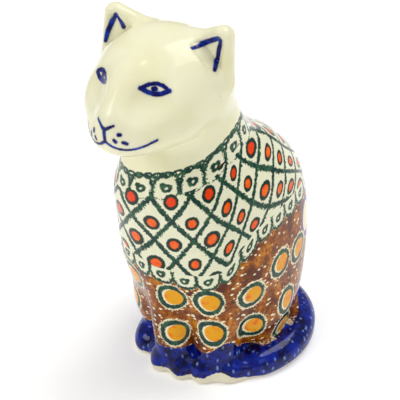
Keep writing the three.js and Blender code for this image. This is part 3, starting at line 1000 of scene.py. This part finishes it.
        broad = smallest(lines, arch_lines, swag + (1 - step_up(self.ragged, -0.1, 0)) * 2, hem_lines)
        fine = smallest(arch_curl, chain, hem_curl)
        ink = smallest(broad + self.ragged * 1.9 + self.coarse * 0.8, fine + self.ragged * 0.7)
        ground = blend(step_up(self.coarse, -0.3, 0.3), colour("dress ground"), colour("dress shade"))
        painted = blend(within(ink, 0), ground, self.green())
        ring = within(dot, DOT_RING_RADIUS)
        dot_paint = blend(within(dot, DOT_EDGE_RADIUS), colour("dot ring"), colour("dot edge"))
        painted = blend(ring, painted, dot_paint)
        blush = noise_of(self.point, 1.6, centred=False)
        orange = blend(step_up(blush, 0.35, 0.65), colour("orange"), colour("pale orange"))
        red = blend(upper, orange, colour("red"))
        painted = blend(within(dot, DOT_RADIUS), painted, red)
        past_hem = self.outside(w, rise, HEM_CELL_WIDTH, HEM_CELL_HEIGHT)
        outside_scallop = step_up(past_hem, 0.3, 0.8) * within(rise, 3.4)
        worn = (1 - outside_scallop) * step_up(rise, -0.6, -0.2)
        return blend(step_up(depth, -1.4, -1.0), over, blend(worn, under, painted))

    def outside(self, u, v, width, height):
        """Distance outwards from a scallop that is round at v = 0 and straight above its height."""
        half = width / 2 - 0.1
        low = largest(height - v, 0.0) / height
        reach = maths("POWER", maths("POWER", size_of(u) / half, 2.6) + maths("POWER", low, 2.6), 1 / 2.6)
        return (reach - 1) * half

    def scallop(self, u, v, width, height):
        return size_of(self.outside(u, v, width, height)) - LINE_HALF_WIDTH

    def brown(self):
        """Sponged brown with fine pale flecks."""
        cloud = noise_of(self.point, 7, detail=4, rough=0.65, centred=False)
        grain = noise_of(self.point, 1.3, detail=3, rough=0.8, centred=False)
        ground = blend(step_up(cloud, 0.32, 0.56), colour("dark brown"), colour("brown"))
        ground = blend(step_up(cloud * 0.6 + grain * 0.4, 0.5, 0.62), ground, colour("amber brown"))
        ground = blend(step_up(grain, 0.48, 0.3) * 0.65, ground, colour("burnt brown"))
        fleck, pick = cells_of(vector_maths("MULTIPLY", self.point, (0.8, 0.8, 1.3)), 2.5)
        thick = noise_of(self.point, 8, centred=False)
        shown = step_up(pick + thick * 0.9, 0.72, 0.76)
        flecks = within(fleck + self.ragged * 0.6, 0.66, 0.14) * shown
        return blend(flecks, ground, colour("brown fleck"))

    def eyes(self, under):
        """Rings like the eyes of a peacock's feather."""
        flat = (1.0, 1.0, EYE_FLATNESS)
        point = vector_maths("MULTIPLY", self.point, flat)
        middles = [trunk_place(*eye) for eye in EYES]
        # The brush's yolk lies a little to the cat's left of each ring's middle
        yolks = [trunk_place(angle + math.degrees(YOLK_SHIFT / np.hypot(*middle[:2])), height + 0.1)
                 for (angle, height), middle in zip(EYES, middles)]
        rim = nearest(point, [middle * flat for middle in middles]) + self.coarse * 1.2
        yolk = nearest(point, [middle * flat for middle in yolks]) + self.coarse * 0.5
        cream = colour("eye cream")
        tall = (1.0, 1.0, 0.7)
        petal = nearest(vector_maths("MULTIPLY", self.point, tall), [trunk_place(*PETAL) * tall])
        petal = petal - PETAL_RADIUS + self.coarse * 0.8
        under = blend(within(petal, 0.7), under, blend(within(petal, -0.7), colour("petal edge"), cream))
        painted = blend(within(rim + self.ragged * 3.0, EYE_RADIUS + 0.75), under, cream)
        painted = blend(within(rim + self.ragged * 1.4, EYE_RADIUS), painted, self.green())
        painted = blend(within(rim + self.ragged * 0.9, YOLK_RADIUS + 0.2), painted, cream)
        amber = blend(step_up(self.coarse, 0.02, 0.2), colour("yolk"), colour("yolk blush"))
        return blend(within(yolk + self.ragged * 0.4, YOLK_RADIUS), painted, amber)

    def cobalt(self):
        """Sponged cobalt, lighter where it ran thin."""
        cloud = noise_of(self.point, 5, detail=4, rough=0.7, centred=False)
        ground = blend(step_up(cloud, 0.38, 0.62), colour("cobalt"), colour("thin cobalt"))
        streaks = vector_maths("MULTIPLY", self.point, (1.0, 1.0, 0.55))
        fleck, pick = cells_of(streaks, 2.1)
        pale = within(fleck + self.ragged * 0.5, 0.5, 0.3) * step_up(pick, 0.5, 0.55)
        return blend(pale * 0.6, ground, colour("cobalt fleck"))

    def lower(self, painted):
        """The cobalt paws and tail, and the bare cream rim."""
        edge = self.height_curve(COBALT_TOP) + self.coarse * 1.6
        fringe = within(size_of(self.z - edge - 0.4), 0.35) * step_up(self.ragged, 0.02, 0.1)
        painted = blend(fringe, painted, colour("fringe"))
        u = (self.x - FOOT_MIDDLE[0]) / (TAIL_BED[0] + 0.8)
        v = (self.y - FOOT_MIDDLE[1]) / (TAIL_BED[1] + 0.8)
        flange = step_up(u * u + v * v + self.coarse * 0.05, 0.99, 1.01) * within(self.z, 15)
        painted = blend(largest(within(self.z + self.ragged * 0.8, edge), flange), painted, self.cobalt())
        rim = self.height_curve(CREAM_TOP) + self.coarse * 1.8
        return blend(within(self.z + self.ragged * 0.6, rim), painted, colour("rim cream"))


GLOSSY = 0.07  # roughness of the glaze where it is smoothest
DRY = 0.3  # roughness of the stoneware underneath
GLAZE_IOR = 1.45
GLAZE_SHINE = 0.3


def glaze_material(name, paint, roughness):
    """A glazed surface: colour under a clear glossy layer that isn't quite level."""
    material = bpy.data.materials.new(name)
    material.use_nodes = True
    tree = material.node_tree
    shader = tree.nodes["Principled BSDF"]
    work = Decoration(tree)
    feed(tree, shader.inputs["Base Color"], paint(work))
    worn = noise_of(work.point, 9, detail=3, centred=False)
    feed(tree, shader.inputs["Roughness"], worn * 0.08 + roughness)
    shader.inputs["IOR"].default_value = GLAZE_IOR
    shader.inputs["Specular IOR Level"].default_value = GLAZE_SHINE
    bump = tree.nodes.new("ShaderNodeBump")
    bump.inputs["Strength"].default_value = 0.35
    bump.inputs["Distance"].default_value = 0.0005
    waves = noise_of(work.point, 11, detail=1.0)
    pits = noise_of(work.point, 1.5, detail=1.0)
    feed(tree, bump.inputs["Height"], waves + pits * 0.04)
    tree.links.new(bump.outputs["Normal"], shader.inputs["Normal"])
    return material


def body_paint(work):
    return work.lower(work.dress(work.eyes(work.brown()), work.cream()))


def face_paint(work):
    cream = work.cream()
    return work.face(work.dress(cream, cream))


def paw_paint(work):
    return work.lower(work.eyes(work.brown()))


def foot_paint(work):
    """Cream and cobalt glaze round the edge, and bare stoneware underneath."""
    clay = noise_of(work.point, 1.2, detail=3, centred=False)
    bare = blend(step_up(clay, 0.3, 0.7), colour("clay"), colour("dark clay"))
    return blend(step_up(work.z, 0.5, 0.9), bare, paw_paint(work))


glazes = {
    "cream_glaze": glaze_material("cream glaze", face_paint, GLOSSY),
    "painted_glaze": glaze_material("painted glaze", body_paint, GLOSSY),
    "cobalt_glaze": glaze_material("cobalt glaze", paw_paint, GLOSSY),
    "bare_stoneware": glaze_material("stoneware", foot_paint, DRY),
}
slots = {"head_shell": "cream_glaze", "ear_right": "cream_glaze", "ear_left": "cream_glaze",
         "body_shell": "painted_glaze", "foot_disc": "bare_stoneware"}
for node, piece in pieces.items():
    slot = slots.get(node, "cobalt_glaze")
    piece.name = "glazed_" + node
    piece.data.materials.clear()
    piece.data.materials.append(glazes[slot])
    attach(piece, "root")
    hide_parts(node)


# Floor, light and camera, in metres
FLOOR_REACH = 3
PAPER_COLOUR = (0.93, 0.93, 0.93, 1)
PAPER_GLOW = 0.2  # keeps the sheet white where the lamps fall off
WHITE = (1, 1, 1, 1)
WORLD_STRENGTH = 0.45
LAMP_AIM = (0, 0, 0.08)
SOFTBOXES = {  # place, size and power in watts
    "key": ((-1.3, -1.9, 1.9), (1.3, 1.3), 26),
    "top": ((0.4, 0.9, 2.4), (1.7, 1.4), 35),
    "window": ((1.9, -0.8, 1.9), (1.2, 1.5), 6),
}
SENSOR_WIDTH = 36
FOCAL_LENGTH = 103.5
CAMERA_SHIFT = (-0.0225, -0.01625)
CAMERA_AZIMUTH = math.radians(35)
CAMERA_ELEVATION = math.radians(31)
CAMERA_ROLL = math.radians(3)
CAMERA_DISTANCE = 0.47
CAMERA_TARGET = to_frame((0, 0, 70))

floor_mesh = bpy.data.meshes.new("floor")
floor_corners = [(x * FLOOR_REACH, y * FLOOR_REACH, 0) for x, y in ((-1, -1), (1, -1), (1, 1), (-1, 1))]
floor_mesh.from_pydata(floor_corners, [], [(0, 1, 2, 3)])
floor = bpy.data.objects.new("floor", floor_mesh)
bpy.context.scene.collection.objects.link(floor)
paper = bpy.data.materials.new("paper")
paper.use_nodes = True
sheet = paper.node_tree.nodes["Principled BSDF"]
sheet.inputs["Base Color"].default_value = PAPER_COLOUR
sheet.inputs["Roughness"].default_value = 0.9
sheet.inputs["Specular IOR Level"].default_value = 0.1
sheet.inputs["Emission Color"].default_value = WHITE
sheet.inputs["Emission Strength"].default_value = PAPER_GLOW
floor_mesh.materials.append(paper)


def softbox(name, place, size, power):
    light = bpy.data.lights.new(name, "AREA")
    light.shape = "RECTANGLE"
    light.size, light.size_y = size
    light.energy = power
    lamp = bpy.data.objects.new(name, light)
    bpy.context.scene.collection.objects.link(lamp)
    lamp.location = place
    lamp.rotation_euler = (Vector(place) - Vector(LAMP_AIM)).to_track_quat("Z", "Y").to_euler()


for name, (place, size, power) in SOFTBOXES.items():
    softbox(name, place, size, power)

world = bpy.data.worlds.new("studio")
bpy.context.scene.world = world
world.use_nodes = True
backdrop = world.node_tree.nodes["Background"]
backdrop.inputs["Color"].default_value = WHITE
backdrop.inputs["Strength"].default_value = WORLD_STRENGTH

level = np.array([math.sin(CAMERA_AZIMUTH), -math.cos(CAMERA_AZIMUTH), 0])
back = level * math.cos(CAMERA_ELEVATION) + np.array([0, 0, math.sin(CAMERA_ELEVATION)])
right = np.array([math.cos(CAMERA_AZIMUTH), math.sin(CAMERA_AZIMUTH), 0])
up = np.cross(back, right)
camera = bpy.data.objects.new("camera", bpy.data.cameras.new("camera"))
bpy.context.scene.collection.objects.link(camera)
camera.data.sensor_width = SENSOR_WIDTH
camera.data.lens = FOCAL_LENGTH
camera.data.shift_x, camera.data.shift_y = CAMERA_SHIFT
across = right * math.cos(CAMERA_ROLL) - up * math.sin(CAMERA_ROLL)
upward = up * math.cos(CAMERA_ROLL) + right * math.sin(CAMERA_ROLL)
place = CAMERA_TARGET + back * CAMERA_DISTANCE
camera.matrix_world = Matrix((
    (across[0], upward[0], back[0], place[0]),
    (across[1], upward[1], back[1], place[1]),
    (across[2], upward[2], back[2], place[2]),
    (0, 0, 0, 1),
))
bpy.context.scene.camera = camera
bpy.context.scene.view_settings.view_transform = "Standard"
